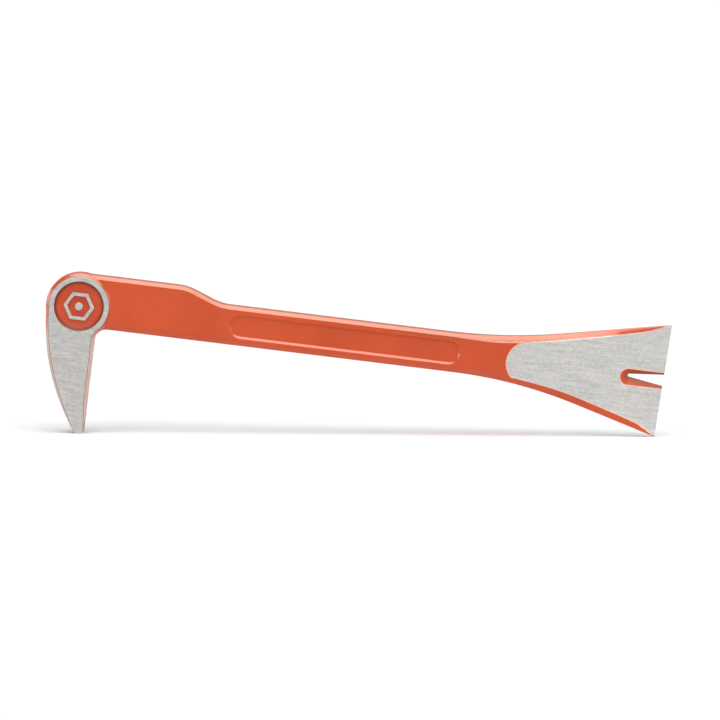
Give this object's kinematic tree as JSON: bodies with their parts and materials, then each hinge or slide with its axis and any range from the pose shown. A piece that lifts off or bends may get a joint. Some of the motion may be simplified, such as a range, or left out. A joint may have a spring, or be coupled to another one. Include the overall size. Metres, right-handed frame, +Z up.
{
  "type": "pry bar",
  "caption": "Forged flat pry bar with a flared slotted blade, a nail-pulling claw at right angles, a hammer face and a coated shank with ground working faces.",
  "frame": {"origin": "on the floor, under the middle of the bar's bounding box, as it stands on its claw and the low corner of its blade", "axes": "+Z up, +X along the bar from the head to the blade, +Y through its thickness; the bar's own axis leans 6.5 degrees down towards the blade"},
  "size_m": [0.2542, 0.0144, 0.0652],
  "materials": {
    "steel": "ground and brushed",
    "powder_coat": "satin powder coat, orange-red"
  },
  "bodies": {
    "root": {"claw": "steel", "head": "steel", "neck": "steel", "shank": "steel", "blade": "steel", "front_emblem": "steel", "rear_emblem": "steel", "claw_coat": "powder_coat", "head_coat": "powder_coat", "neck_coat": "powder_coat", "shank_coat": "powder_coat", "blade_coat": "powder_coat"}
  },
  "joints": []
}
